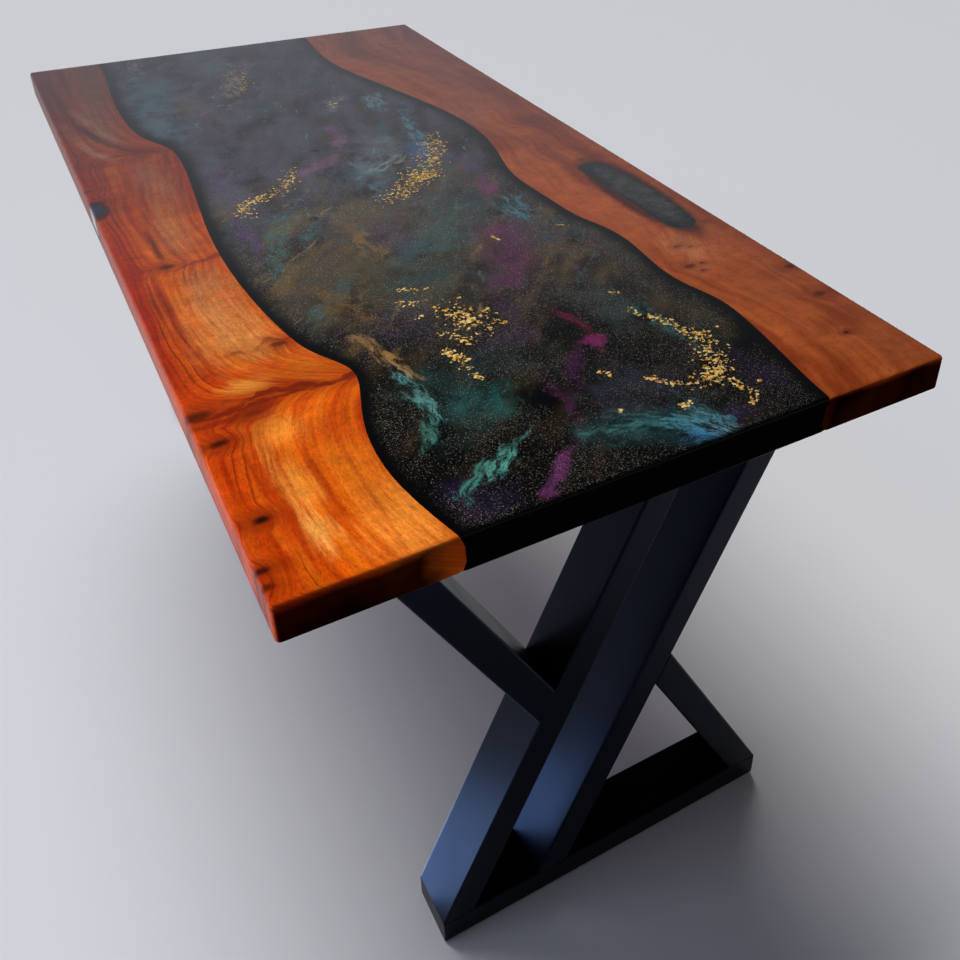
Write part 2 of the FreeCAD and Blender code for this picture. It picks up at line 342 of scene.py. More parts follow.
def growthLines(add, look, layer, layerPlace, slabShare, plain):
    # the layers darken slowly and end sharply, and are thinner towards the outer side
    uneven = add("VectorMath", times, {0: layerPlace, 1: (6.0, 1 / (grain["line"] * mm), 1)})[0]
    uneven = add("TexNoise", {}, {0: uneven, 2: 1.0, 3: 3.0})
    crowd = add("Math", absolute, {0: layer})[0]
    crowd = add("Math", timesPlus, {0: crowd, 1: 0.9, 2: 0.6})[0]
    crowd = add("Math", times, {0: crowd, 1: layer})[0]
    shift = add("Math", times, {0: uneven[0], 1: 2.4})[0]
    lines = add("Math", timesPlus, {0: crowd, 1: look["lineCount"], 2: shift})[0]
    lines = add("Math", {"operation": "FRACT"}, {0: lines})[0]
    groups = add("SeparateColor", {}, {0: uneven[1]})["Blue"]
    groups = add("MapRange", smooth,
                 {0: groups, 1: 0.40, 2: 0.58, 3: 0.15 * look["lineStrength"], 4: look["lineStrength"]})[0]
    lineShade = add("MapRange", smooth, {0: lines, 1: 0.35, 2: 1.05})[0]
    lineShade = add("Math", toPower, {0: lineShade, 1: 2.0})[0]
    lineShade = add("Math", times, {0: lineShade, 1: groups})[0]
    field = add("MapRange", smooth, {0: slabShare, 1: 0.50, 2: 0.85, 3: look["lineField"]})[0]
    lineShade = add("Math", times, {0: lineShade, 1: field})[0]
    lined = add("Math", timesPlus, {0: plain, 1: -1.05, 2: 1.0})[0]
    lineShade = add("Math", {"operation": "MULTIPLY", "use_clamp": True}, {0: lineShade, 1: lined})[0]
    return lineShade


def figuredGrain(add, look, layerPlace, colour):
    # curly figure in bars across the grain, fibre streaks along it and mottling
    for across, length, strength in look["figure"]:
        figure = add("VectorMath", times, {0: layerPlace, 1: (across, 1 / (length * mm), 1)})[0]
        figure = add("TexNoise", {}, {0: figure, 2: 1.0, 3: 2.0})[0]
        value = add("MapRange", {}, {0: figure, 1: 0.3, 2: 0.7, 3: 1 - strength, 4: 1 + strength})[0]
        colour = add("VectorMath", scaled, {0: colour, "Scale": value})[0]

    # open pores as short dark flecks, drawn about 1 mm wide so that they show
    pores = add("VectorMath", times, {0: layerPlace, 1: (150, 1 / (grain["pore"] * mm), 1)})[0]
    pores = add("TexNoise", {}, {0: pores, 2: 1.0, 3: 2.0})[0]
    value = add("MapRange", {}, {0: pores, 1: 0.70, 2: 0.54, 3: 0.66, 4: 1.04})[0]
    colour = add("VectorMath", scaled, {0: colour, "Scale": value})[0]
    return colour, pores


def resinBurns(add, look, place, strands, colour):
    # resin soaks into the wood round a fill and stains it
    for burnX, burnY, burnWidth, burnLength in look["burns"]:
        local = add("Mapping", placed, {
            0: place, 1: (burnX * mm, burnY * mm, topHeight), 3: (burnWidth * mm, burnLength * mm, 1.0)})[0]
        away = add("VectorMath", lengthOf, {0: local})["Value"]
        ragged = add("Math", timesPlus, {0: strands, 1: 0.3, 2: away})[0]
        stain = add("MapRange", smooth, {0: ragged, 1: 1.42, 2: 1.06, 4: 0.85})[0]
        colour = add("Mix", blend, {0: stain, 6: colour, 7: linear(grain["burnColour"])})[2]
    return colour


def paintedShadeOnEnds(add, look, z, slabShare, fine, ends, colour):
    # end grain drinks more finish and goes somewhat darker and redder; the rest of the darkening, near
    # black in patches, is painted shade, lifted beside the live edge and giving way to a painted lit rim at
    # the top
    patches = add("MapRange", {}, {0: fine, 1: 0.36, 2: 0.62, 3: 0.01, 4: 0.065})[0]
    paintedEndShade = add("MapRange", smooth, {0: ends, 1: 0.6, 2: 0.95, 3: 1.0, 4: patches})[0]
    mottled = add("Math", timesPlus, {0: fine, 1: 0.5, 2: slabShare})[0]
    # the painted shade of the ends is lifted beside the live edge
    liveEdgeLift = add("MapRange", {"interpolation_type": "SMOOTHERSTEP"},
               {0: mottled, 1: look["liveEdgeLift"][0] + 0.25, 2: 0.10, 4: look["liveEdgeLift"][1]})[0]
    paintedEndShade = add("Math", larger, {0: paintedEndShade, 1: liveEdgeLift})[0]
    # painted light: the ends' upper rim is painted lit, fading into the painted shade below
    litRim = add("Math", timesPlus, {0: fine, 1: grain["fray"] * mm, 2: z})[0]
    litRimFrom = topHeight - look["litRim"] * mm
    litRim = add("MapRange", smooth, {0: litRim, 1: litRimFrom, 2: litRimFrom + grain["fade"] * mm, 4: 0.75})[0]
    paintedEndShade = add("Math", larger, {0: paintedEndShade, 1: litRim})[0]
    soakedAndShaded = add("MapRange", {}, {0: ends, 1: 0.6, 2: 0.95, 4: 0.65})[0]
    colour = add("Mix", blend, {0: soakedAndShaded, 6: colour, 7: linear(grain["soakedAndShadedColour"])})[2]
    colour = add("VectorMath", scaled, {0: colour, "Scale": paintedEndShade})[0]
    return colour


def lacqueredHardwood(name, look):
    material, add = newMaterial(name)
    place = add("TexCoord")["Object"]
    x, y, z = add("SeparateXYZ", {}, {0: place})
    lengthShare = add("MapRange", {}, {0: y, 1: -halfLength, 2: halfLength})[0]
    slabShare = acrossSlab(add, look, x, lengthShare)
    growth = growthLayers(add, look, place, y, slabShare)
    fine = add("TexNoise", {}, {0: place, 2: 1 / (grain["mottle"] * mm), 3: 3.0})[0]
    bands, strands = branchBands(add, look, y, slabShare, fine)
    bands, growth, knotShade = knotMarks(add, look, place, strands, bands, growth)

    # the growth layers lean into the thickness, so the sides and ends show them too
    depth = add("MapRange", {"clamp": False}, {0: z, 1: topHeight, 2: underside, 4: 0.55})[0]
    layer = add("Math", plus, {0: growth, 1: depth})[0]
    layerPlace = add("CombineXYZ", {}, {0: layer, 1: y})[0]
    ringPlace = add("VectorMath", times,
                    {0: layerPlace, 1: (look["growthCount"], 1 / (grain["ring"] * mm), 1)})[0]
    rings = add("TexNoise", {}, {0: ringPlace, 2: 1.0, 3: 3.0, 4: 0.55})[0]
    stops = [(position, colour) for colour, position in look["growth"]]
    colour = add("ValToRGB", {}, {0: rings}, stops=[stops[0], stops[-1]] + stops[1:-1])[0]
    colour, plain = glowPatches(add, look, place, layerPlace, rings, colour)
    outerColour, outerShare = look["outer"]
    outer = add("MapRange", smooth, {0: slabShare, 1: 0.55, 2: 1.0, 4: outerShare})[0]
    colour = add("Mix", blend, {0: outer, 6: colour, 7: linear(outerColour)})[2]
    lineShade = growthLines(add, look, layer, layerPlace, slabShare, plain)
    colour = add("Mix", blend, {0: lineShade, 6: colour, 7: linear(look["lineColour"])})[2]
    # painted shade: the wood darkens and greys towards the far end
    farEndShade = add("ValToRGB", {}, {0: lengthShare}, stops=look["farEndShade"])[0]
    colour = add("Mix", {"data_type": "RGBA", "blend_type": "MULTIPLY"},
                 {0: 1.0, 6: colour, 7: farEndShade})[2]
    colour, pores = figuredGrain(add, look, layerPlace, colour)
    colour = add("Mix", blend, {0: bands, 6: colour, 7: linear(look["lineColour"])})[2]
    colour = add("Mix", blend, {0: knotShade, 6: colour, 7: linear(grain["knotColour"])})[2]
    colour = resinBurns(add, look, place, strands, colour)

    # the gloss is full on the top, thin on the long sides and missing on the ends
    normal = add("SeparateXYZ", {}, {0: add("NewGeometry")["Normal"]})
    ends = add("Math", absolute, {0: normal["Y"]})[0]
    # painted shade on the sawn ends
    colour = paintedShadeOnEnds(add, look, z, slabShare, fine, ends, colour)
    flat = add("MapRange", {}, {0: normal["Z"], 1: 0.2, 2: 0.8, 3: 0.35, 4: 1.0})[0]
    coat = add("MapRange", {}, {0: ends, 1: 0.6, 2: 0.95, 3: flat, 4: 0.0})[0]
    relief = add("Bump", {}, {"Strength": 0.15, "Distance": 0.2 * mm, "Height": pores})[0]
    surface = add("BsdfPrincipled", {}, {
        "Base Color": colour, "Roughness": 0.45, "IOR": 1.5, "Specular IOR Level": 0.0, "Normal": relief,
        "Coat Weight": coat, "Coat Roughness": 0.05, "Coat IOR": 1.5})[0]
    add("OutputMaterial", {}, {0: surface})
    return material


cadNodes["left_slab"].material_slots[0].material = lacqueredHardwood("camphorLeft", leftSlab)
cadNodes["right_slab"].material_slots[0].material = lacqueredHardwood("camphorRight", rightSlab)
print("slabs finished")


# River: black-pigmented casting epoxy with mica clouds and fine gold glitter stirred in near the top,
# polished flat. The eye gets a deep black with soft smoke of teal, violet and magenta, and a mirror gloss.
# Sizes and places are in millimetres. Bands say where the pigments begin and are full: from the wood, from
# the near end and below the top. The two values named along say the same for smoke and glitter.
# Stirring: wave and push of the broad and then the fine swirls. Dots: x, y, radius.
# Smoke lies soft and even, and strokes are torn into feathers. Both: x, y, half width, half length,
# turn in degrees, colour, strength.
# Veils: colour, turn in degrees, the noise where they begin and are full, width and length of a streak,
# and where along the table they begin and are full.
riverPour = {
    "base": "#050607",
    "rimBand": (5, 34),
    "endBand": (1, 12),
    "depthBand": (5, 0.5),
    "smokyAlong": (-640, -300),
    "glitterAlong": (200, -420),
    "stirring": ((110, 40), (26, 20)),
    "wisp": 36,
    "cloudReach": 2.2,  # a cloud fades out at this many times its half size
    "feather": (6, 24),
    "veils": (
        ("#433C34", -36, 0.45, 0.95, 40, 110, (-620, -260)),
        ("#4A4A58", -20, 0.45, 0.92, 34, 120, (-330, 60)),
        ("#5E4C2C", -42, 0.68, 1.00, 34, 120, (150, -80)),
        ("#2C5458", -30, 0.82, 1.04, 34, 120, (-640, -300)),
        ("#8A7448", -42, 0.86, 1.06, 10, 80, (120, -80)),
        ("#4F8E94", -25, 0.90, 1.08, 9, 70, (-640, -300)),
        ("#7C5A8E", -10, 0.92, 1.08, 11, 80, (-640, -200)),
    ),
    "dots": ((-36, 140, 5), (-118, -100, 6)),
    "glitterSpacing": 1.05,
    "glitterShare": 0.9,
    "glitterDrift": 80,
    "glitterColours": ("#3E382F", "#FFF2DC"),
    "smoke": (
        (-110, -300, 60, 60, 0, "#4E4630", 0.7), (-40, -290, 60, 60, 0, "#3A4A44", 0.7),
        (-60, -345, 50, 40, 0, "#27474A", 0.7), (-120, -420, 34, 34, 0, "#2C2440", 0.8),
        (74, -326, 32, 78, -34, "#66285A", 0.75), (40, -375, 34, 26, 0, "#5A2650", 0.6),
        (8, -440, 13, 50, -10, "#3C2548", 0.8), (-22, -498, 28, 24, 0, "#42264E", 0.85),
        (50, -505, 8, 30, 8, "#74183F", 0.75), (48, -556, 12, 8, -30, "#98307A", 0.75),
        (10, -588, 7, 30, -38, "#54205A", 0.55), (-30, -645, 6, 34, -8, "#52204E", 0.8),
        (-112, -602, 38, 36, 0, "#22605E", 0.8), (-130, -540, 44, 30, 0, "#1E3E3E", 0.7),
        (-55, -545, 44, 30, 0, "#1C3436", 0.8), (-150, -640, 28, 26, 0, "#1C3A3A", 0.45),
        (-94, -735, 7, 40, -50, "#8A3E88", 0.9), (-195, -735, 40, 26, 0, "#221A3E", 0.8),
        (46, -722, 48, 36, 0, "#2A565C", 0.6), (40, -655, 60, 44, 0, "#2A2A3A", 0.8),
        (110, -495, 24, 60, 0, "#38484A", 0.8), (186, -545, 24, 66, 0, "#46402A", 0.75),
        (135, -275, 40, 40, 0, "#30444E", 0.8), (180, -690, 30, 40, 0, "#241838", 0.8),
        (92, -745, 34, 16, 0, "#2A1C40", 0.8), (-60, -135, 38, 64, 0, "#6A583A", 0.5),
        (-115, -250, 44, 36, 0, "#5A4A26", 0.5), (-40, -90, 30, 50, 0, "#55503F", 0.5),
        (-50, -205, 32, 44, 0, "#463C5C", 0.75), (10, -222, 50, 38, 0, "#3A6A72", 0.5),
        (-30, -255, 50, 26, 0, "#2C5A62", 0.6), (90, -150, 60, 60, 0, "#3C5C60", 0.4),
        (40, -185, 50, 40, 0, "#38564F", 0.45), (142, -108, 13, 44, -10, "#7C3862", 0.85),
        (150, -20, 15, 50, -6, "#564A76", 0.75), (92, -258, 36, 28, 0, "#6A2C56", 0.85),
        (-212, -110, 9, 70, -4, "#56406E", 0.85), (-196, 85, 28, 84, 0, "#544E74", 0.65),
        (-150, 170, 44, 84, 20, "#504E62", 0.6), (-50, 82, 13, 60, -60, "#84587E", 0.85),
        (10, 165, 9, 60, -8, "#845A82", 0.8), (60, 112, 32, 34, -20, "#78868C", 0.6),
        (-4, 16, 36, 36, -30, "#567A88", 0.6), (110, 65, 24, 36, 0, "#4A6A9A", 0.8),
        (-216, 510, 34, 100, 0, "#447080", 0.75), (-188, 535, 44, 70, 0, "#4A667C", 0.5),
        (-232, 350, 28, 90, 6, "#467488", 0.65), (-80, 670, 30, 76, -10, "#5A727E", 0.5),
        (-150, 430, 30, 60, 0, "#6A605C", 0.6), (58, -564, 11, 6, 60, "#8E2C6C", 0.7),
        (-16, -706, 36, 22, 0, "#2E5A60", 0.5), (30, -640, 40, 20, 0, "#2C3642", 0.6),
    ),
    "strokes": (
        (-170, -345, 16, 75, 24, "#6E5026", 0.85), (-168, -470, 12, 60, 12, "#A07A48", 1.0),
        (-167, -552, 11, 56, 4, "#5A9A9C", 1.0), (-183, -618, 10, 36, -16, "#3A766E", 0.9),
        (-142, -702, 11, 52, -62, "#58A49C", 1.0), (-172, -716, 9, 36, -52, "#3C8A80", 0.9),
        (62, -736, 18, 44, 52, "#62A4BA", 1.0), (40, -720, 11, 54, 64, "#4C8EA0", 1.0),
        (78, -722, 10, 40, 12, "#5296A6", 0.95), (50, -746, 9, 40, 34, "#4A8CB0", 0.9),
        (10, -698, 14, 34, 50, "#35605E", 0.8), (-6, -709, 9, 48, 74, "#3E7C78", 0.95),
        (50, -758, 10, 18, 78, "#2E7AB4", 1.0), (146, -570, 13, 66, 8, "#2E6A72", 0.95),
        (160, -350, 16, 62, 62, "#5A4830", 0.85), (200, -395, 22, 50, 0, "#42423A", 0.75),
        (-86, -212, 20, 56, 6, "#84662E", 0.9), (145, -192, 20, 46, -8, "#4C8494", 0.95),
        (-160, -90, 20, 74, -25, "#42706E", 0.9), (-196, -185, 18, 86, -16, "#3A6462", 0.9),
        (30, 42, 22, 60, -40, "#6A8894", 0.85), (8, 52, 16, 50, 10, "#5E8088", 0.85),
        (52, 40, 13, 36, -60, "#A4B0AC", 0.8), (-10, -55, 16, 38, -10, "#4A7C94", 0.8),
        (150, 185, 16, 120, -14, "#5A8CA2", 0.9), (-62, 540, 20, 120, -14, "#94887C", 0.9),
        (-22, 630, 18, 44, -30, "#7E787C", 0.7), (-206, 690, 18, 50, -10, "#8A8488", 0.7),
        (66, 342, 18, 38, -20, "#90949A", 0.8), (132, 312, 20, 46, -10, "#7A9AAA", 0.8),
    ),
}


def openRoom(add, look, x, y, z):
    # 0 on the wood, at the near end and deep down, 1 in the open resin
    rimFrom, rimFull = look["rimBand"]
    endFrom, endFull = look["endBand"]
    depthFrom, depthFull = look["depthBand"]
    lengthShare = add("MapRange", {}, {0: y, 1: -halfLength, 2: halfLength})[0]
    room = 1.0
    for side in (-1, 1):
        edgeShare = add("FloatCurve", {}, {1: lengthShare}, curve=liveEdge(side))[0]
        across = add("Math", times, {0: x, 1: side})[0]
        gap = add("Math", timesPlus, {0: edgeShare, 1: -halfWidth, 2: across})[0]
        clear = add("MapRange", smooth, {0: gap, 1: -rimFrom * mm, 2: -rimFull * mm})[0]
        room = add("Math", times, {0: room, 1: clear})[0]
    shallow = add("MapRange", smooth,
                  {0: z, 1: topHeight - depthFrom * mm, 2: topHeight - depthFull * mm})[0]
    room = add("Math", times, {0: room, 1: shallow})[0]
    endRoom = add("MapRange", smooth,
                  {0: y, 1: endFrom * mm - halfLength, 2: endFull * mm - halfLength})[0]
    room = add("Math", times, {0: room, 1: endRoom})[0]
    return room


def stirred(add, look, place):
    # broad swirls with fine ones in them
    (broadWave, broadPush), (fineWave, finePush) = look["stirring"]
    roll = add("TexNoise", {}, {0: place, 2: 1 / (broadWave * mm), 3: 2.0})[1]
    swirl = add("VectorMath", timesPlus, {0: roll, 1: (broadPush * mm, broadPush * mm, 0), 2: place})[0]
    tight = add("TexNoise", {}, {0: swirl, 2: 1 / (fineWave * mm), 3: 4.0, 4: 0.6})[1]
    swirl = add("VectorMath", timesPlus, {0: tight, 1: (finePush * mm, finePush * mm, 0), 2: swirl})[0]
    # the two noises are about a half on average, so half of each push is taken back
    back = (broadPush + finePush) / 2 * mm
    swirl = add("VectorMath", minus, {0: swirl, 1: (back, back, 0)})[0]
    return swirl


def pigmentFeathers(add, look, swirl, wisps, room):
    # pigment that the stirring has drawn out in four directions
    featherSize = [size * mm for size in look["feather"]] + [1.0]
    frayed = add("Math", timesPlus, {0: wisps, 1: -2.6, 2: look["cloudReach"]})[0]
    feathers = []
    for step in range(4):
        drawn = add("Mapping", placed, {0: swirl, 2: (0, 0, step * math.pi / 4), 3: featherSize})[0]
        feather = add("TexNoise", {}, {0: drawn, 2: 1.0, 3: 6.0, 4: 0.68, "Distortion": 0.7})[0]
        tear = add("Math", timesPlus, {0: feather, 1: -1.8, 2: frayed})[0]
        sheer = add("MapRange", {}, {0: feather, 1: 0.43, 2: 0.62, 3: 0.04, 4: 1.3})[0]
        sheer = add("Math", times, {0: sheer, 1: room})[0]
        feathers.append((tear, sheer))
    return feathers


def smokeVeils(add, look, y, swirl, wisps, room, colour):
    # thin smoke in drawn-out veils, sparse at the near end
    smokyFrom, smokyFull = look["smokyAlong"]
    smoky = add("MapRange", smooth, {0: y, 1: smokyFrom * mm, 2: smokyFull * mm, 3: 0.12, 4: 1.0})[0]
    smoky = add("Math", times, {0: smoky, 1: room})[0]
    for pigment, turn, low, high, width, length, (begin, full) in look["veils"]:
        drawn = add("Mapping", placed,
                    {0: swirl, 2: (0, 0, math.radians(turn)), 3: (width * mm, length * mm, 1.0)})[0]
        thread = add("TexNoise", {}, {0: drawn, 2: 1.0, 3: 5.0, 4: 0.5})[0]
        light = add("MapRange", {}, {0: thread, 1: 0.34, 2: 0.66, 3: 0.6, 4: 1.25})[0]
        veil = add("Math", timesPlus, {0: wisps, 1: 0.5, 2: thread})[0]
        veil = add("MapRange", smooth, {0: veil, 1: low, 2: high})[0]
        reach = add("MapRange", smooth, {0: y, 1: begin * mm, 2: full * mm})[0]
        veil = add("Math", times, {0: veil, 1: smoky})[0]
        veil = add("Math", times, {0: veil, 1: reach})[0]
        pale = add("VectorMath", scaled, {0: linear(pigment)[:3], "Scale": light})[0]
        colour = add("Mix", blend, {0: veil, 6: colour, 7: pale})[2]
    return colour


def pigmentClouds(add, look, swirl, feathers, even, colour):
    # balls of pigment, soft ones first, with gradients as in the wood's patches
    reach = look["cloudReach"] * mm
    clouds = [(row, True) for row in look["smoke"]] + [(row, False) for row in look["strokes"]]
    for (cloudX, cloudY, width, length, turn, pigment, strength), soft in clouds:
        tear, sheer = feathers[round(turn / 45) % 4]  # the feathers that run along the stroke
        ball = add("TexGradient", {"gradient_type": "SPHERICAL"}, {0: swirl}, mapping={
            "vector_type": "TEXTURE", "translation": (cloudX * mm, cloudY * mm, topHeight),
            "rotation": (0, 0, math.radians(turn)),
            "scale": (reach * width, reach * length, 1.0)})["Fac"]
        torn = add("Math", timesPlus, {0: ball, 1: -look["cloudReach"], 2: tear})[0]
        body = add("MapRange", smooth, {0: torn, 1: -0.5 if soft else -1.0, 2: -2.0, 4: strength})[0]
        body = add("Math", times, {0: body, 1: even if soft else sheer})[0]
        colour = add("Mix", blend, {0: body, 6: colour, 7: linear(pigment)})[2]
    return colour


def bareDots(add, look, place, wisps, colour):
    # black spots without pigment
    for dotX, dotY, radius in look["dots"]:
        away = add("VectorMath", {"operation": "DISTANCE"},
                   {0: place, 1: (dotX * mm, dotY * mm, topHeight)})["Value"]
        ragged = add("Math", timesPlus, {0: wisps, 1: radius * mm, 2: away})[0]
        dot = add("MapRange", smooth, {0: ragged, 1: 2.2 * radius * mm, 2: 1.0 * radius * mm})[0]
        colour = add("Mix", blend, {0: dot, 6: colour, 7: linear(look["base"])})[2]
    return colour


def glitterFlecks(add, look, place, y, swirl, room):
    # flakes of a few tenths of a millimetre, drawn about 1 mm wide so that they show
    flecks = add("TexVoronoi", {}, {0: place, "Scale": 1 / (look["glitterSpacing"] * mm)})
    chances = add("SeparateColor", {}, {0: flecks["Color"]})
    drift = add("TexNoise", {}, {0: swirl, 2: 1 / (look["glitterDrift"] * mm), 3: 3.0})[0]
    few = add("MapRange", {}, {0: drift, 1: 0.3, 2: 0.7, 3: 1.0, 4: 1 - look["glitterShare"]})[0]
    lit = add("Math", {"operation": "GREATER_THAN"}, {0: chances["Red"], 1: few})[0]
    near = add("MapRange", {}, {0: flecks["Distance"], 1: 0.60, 2: 0.36})[0]
    glitter = add("Math", times, {0: lit, 1: near})[0]
    glitter = add("Math", times, {0: glitter, 1: room})[0]
    glitterFrom, glitterFull = look["glitterAlong"]
    sunk = add("MapRange", {}, {0: y, 1: glitterFrom * mm, 2: glitterFull * mm, 3: 0.2})[0]
    glitter = add("Math", times, {0: glitter, 1: sunk})[0]
    bright = add("Math", toPower, {0: chances["Green"], 1: 5.0})[0]
    dullFleck, brightFleck = [linear(fleck) for fleck in look["glitterColours"]]
    fleckColour = add("Mix", blend, {0: bright, 6: dullFleck, 7: brightFleck})[2]
    return glitter, fleckColour


def pouredResin(name, look):
    material, add = newMaterial(name)
    place = add("TexCoord")["Object"]
    x, y, z = add("SeparateXYZ", {}, {0: place})
    room = openRoom(add, look, x, y, z)
    swirl = stirred(add, look, place)
    wisps = add("TexNoise", {}, {0: swirl, 2: 1 / (look["wisp"] * mm), 3: 6.0, 4: 0.62})[0]
    feathers = pigmentFeathers(add, look, swirl, wisps, room)
    even = add("MapRange", {}, {0: wisps, 1: 0.34, 2: 0.66, 3: 0.45, 4: 1.05})[0]
    even = add("Math", times, {0: even, 1: room})[0]

    colour = smokeVeils(add, look, y, swirl, wisps, room, linear(look["base"]))
    colour = pigmentClouds(add, look, swirl, feathers, even, colour)
    colour = bareDots(add, look, place, wisps, colour)
    glitter, fleckColour = glitterFlecks(add, look, place, y, swirl, room)
    colour = add("Mix", blend, {0: glitter, 6: colour, 7: fleckColour})[2]

    # the cast ends are sanded, not polished
    normal = add("SeparateXYZ", {}, {0: add("NewGeometry")["Normal"]})
    ends = add("Math", absolute, {0: normal["Y"]})[0]
    coat = add("MapRange", {}, {0: ends, 1: 0.6, 2: 0.95, 3: 1.0, 4: 0.0})[0]
    surface = add("BsdfPrincipled", {}, {
        "Base Color": colour, "Metallic": glitter, "Roughness": 0.4, "IOR": 1.5, "Specular IOR Level": 0.0,
        "Coat Weight": coat, "Coat Roughness": 0.03, "Coat IOR": 1.5})[0]
    add("OutputMaterial", {}, {0: surface})
    return material


cadNodes["resin_river"].material_slots[0].material = pouredResin("stirredEpoxy", riverPour)
print("river finished")


# Fills: the same black epoxy with one thin cloud, polished flat. The eye gets a dark glossy spot whose
# rim is black. Oval: x, y, half width, half length. All sizes are in millimetres.
inlayPour = {
    "oval": (325, -237, 29, 132),
    "base": "#060708",
    "cloud": "#4C4E52",
    "strength": 0.85,
    "smoke": 24,
    "fleckSpacing": 2.4,
    "fleckColour": "#8A7A5A",
}
voidPour = {**inlayPour, "oval": (-374, 69, 12, 18), "cloud": "#1C2A6A", "strength": 0.8}


def filledResin(name, look):
    material, add = newMaterial(name)
    place = add("TexCoord")["Object"]
    ovalX, ovalY, width, length = [value * mm for value in look["oval"]]
    local = add("Mapping", placed, {0: place, 1: (ovalX, ovalY, topHeight), 3: (width, length, 1.0)})[0]
    away = add("VectorMath", lengthOf, {0: local})["Value"]
    smoke = add("TexNoise", {},
                {0: place, 2: 1 / (look["smoke"] * mm), 3: 6.0, 4: 0.62, "Distortion": 0.4})[0]
    torn = add("Math", timesPlus, {0: smoke, 1: -0.9, 2: away})[0]
    body = add("MapRange", smooth, {0: torn, 1: 0.5, 2: 0.1, 4: look["strength"]})[0]
    thick = add("MapRange", smooth, {0: smoke, 1: 0.28, 2: 0.72, 3: 0.2})[0]
    body = add("Math", times, {0: body, 1: thick})[0]
    colour = add("Mix", blend, {0: body, 6: linear(look["base"]), 7: linear(look["cloud"])})[2]
    flecks = add("TexVoronoi", {}, {0: place, "Scale": 1 / (look["fleckSpacing"] * mm)})
    chance = add("SeparateColor", {}, {0: flecks["Color"]})["Red"]
    lit = add("Math", {"operation": "GREATER_THAN"}, {0: chance, 1: 0.7})[0]
    near = add("MapRange", {}, {0: flecks["Distance"], 1: 0.42, 2: 0.28})[0]
    glitter = add("Math", times, {0: lit, 1: near})[0]
    glitter = add("Math", times, {0: glitter, 1: body})[0]
    colour = add("Mix", blend, {0: glitter, 6: colour, 7: linear(look["fleckColour"])})[2]
    surface = add("BsdfPrincipled", {}, {
        "Base Color": colour, "Roughness": 0.4, "IOR": 1.5, "Specular IOR Level": 0.1,
        "Coat Weight": 1.0, "Coat Roughness": 0.03, "Coat IOR": 1.5})[0]
    add("OutputMaterial", {}, {0: surface})
    return material


cadNodes["oval_inlay"].material_slots[0].material = filledResin("inlayEpoxy", inlayPour)
cadNodes["edge_void_fill"].material_slots[0].material = filledResin("voidEpoxy", voidPour)
print("fills finished")


# Frames: mild steel tube, powder coated satin black. The eye gets a soft broken sheen from the orange peel
# of the baked powder, which is drawn about 2 mm wide so that it shows.
powderCoat = {
    "colour": "#030405",
    "dust": "#07080B",
    "sheen": "#80A8FF",
    "peel": 2.0,
    "patch": 120,
    "roughness": (0.28, 0.40),
}


def powderCoatedSteel(name, look):
    material, add = newMaterial(name)
    place = add("TexCoord")["Object"]
    peel = add("TexNoise", {}, {0: place, 2: 1 / (look["peel"] * mm), 3: 2.0})[0]
    patches = add("TexNoise", {}, {0: place, 2: 1 / (look["patch"] * mm), 3: 4.0})[0]
    glossy, satin = look["roughness"]
    dull = add("MapRange", {}, {0: patches, 1: 0.3, 2: 0.7, 3: glossy, 4: satin})[0]
    haze = add("MapRange", {}, {0: patches, 1: 0.45, 2: 0.8, 4: 0.5})[0]
    colour = add("Mix", blend, {0: haze, 6: linear(look["colour"]), 7: linear(look["dust"])})[2]
    relief = add("Bump", {}, {"Strength": 0.25, "Distance": 0.06 * mm, "Height": peel})[0]
    surface = add("BsdfPrincipled", {}, {
        "Base Color": colour, "Roughness": dull, "IOR": 1.5, "Specular IOR Level": 0.12,
        "Specular Tint": linear(look["sheen"]), "Normal": relief})[0]
    add("OutputMaterial", {}, {0: surface})
    return material


# Screws: zinc-plated steel, turned and pressed. A pale grey metal with a faint yellow-blue bloom.
screwZinc = {"bright": "#B4B6BA", "bloom": "#9C9484", "grit": 3.0}


def zincPlate(name, look):
    material, add = newMaterial(name)
    place = add("TexCoord")["Object"]
    bloom = add("TexNoise", {}, {0: place, 2: 1 / (look["grit"] * mm), 3: 4.0})[0]
    colour = add("Mix", blend, {0: bloom, 6: linear(look["bright"]), 7: linear(look["bloom"])})[2]
    dull = add("MapRange", {}, {0: bloom, 3: 0.25, 4: 0.5})[0]
    surface = add("BsdfPrincipled", {}, {"Base Color": colour, "Metallic": 1.0, "Roughness": dull})[0]
    add("OutputMaterial", {}, {0: surface})
    return material


# Pads: moulded rubber sheet, matt and slightly dusty.
padRubber = {"colour": "#17171A", "dust": "#2C2C2E", "grit": 1.5}


def mattRubber(name, look):
    material, add = newMaterial(name)
    place = add("TexCoord")["Object"]
    grit = add("TexNoise", {}, {0: place, 2: 1 / (look["grit"] * mm), 3: 4.0})[0]
    colour = add("Mix", blend, {0: grit, 6: linear(look["colour"]), 7: linear(look["dust"])})[2]
    relief = add("Bump", {}, {"Strength": 0.3, "Distance": 0.1 * mm, "Height": grit})[0]
    surface = add("BsdfPrincipled", {}, {"Base Color": colour, "Roughness": 0.85, "Normal": relief})[0]
    add("OutputMaterial", {}, {0: surface})
    return material


steel = powderCoatedSteel("powderCoatedSteel", powderCoat)
zinc = zincPlate("zincPlate", screwZinc)
rubber = mattRubber("mattRubber", padRubber)
for name, piece in cadNodes.items():
    if name.startswith(("near_", "far_")):
        finish = zinc if name.endswith("screws") else rubber if name.endswith("pads") else steel
        piece.material_slots[0].material = finish
print("frames finished")
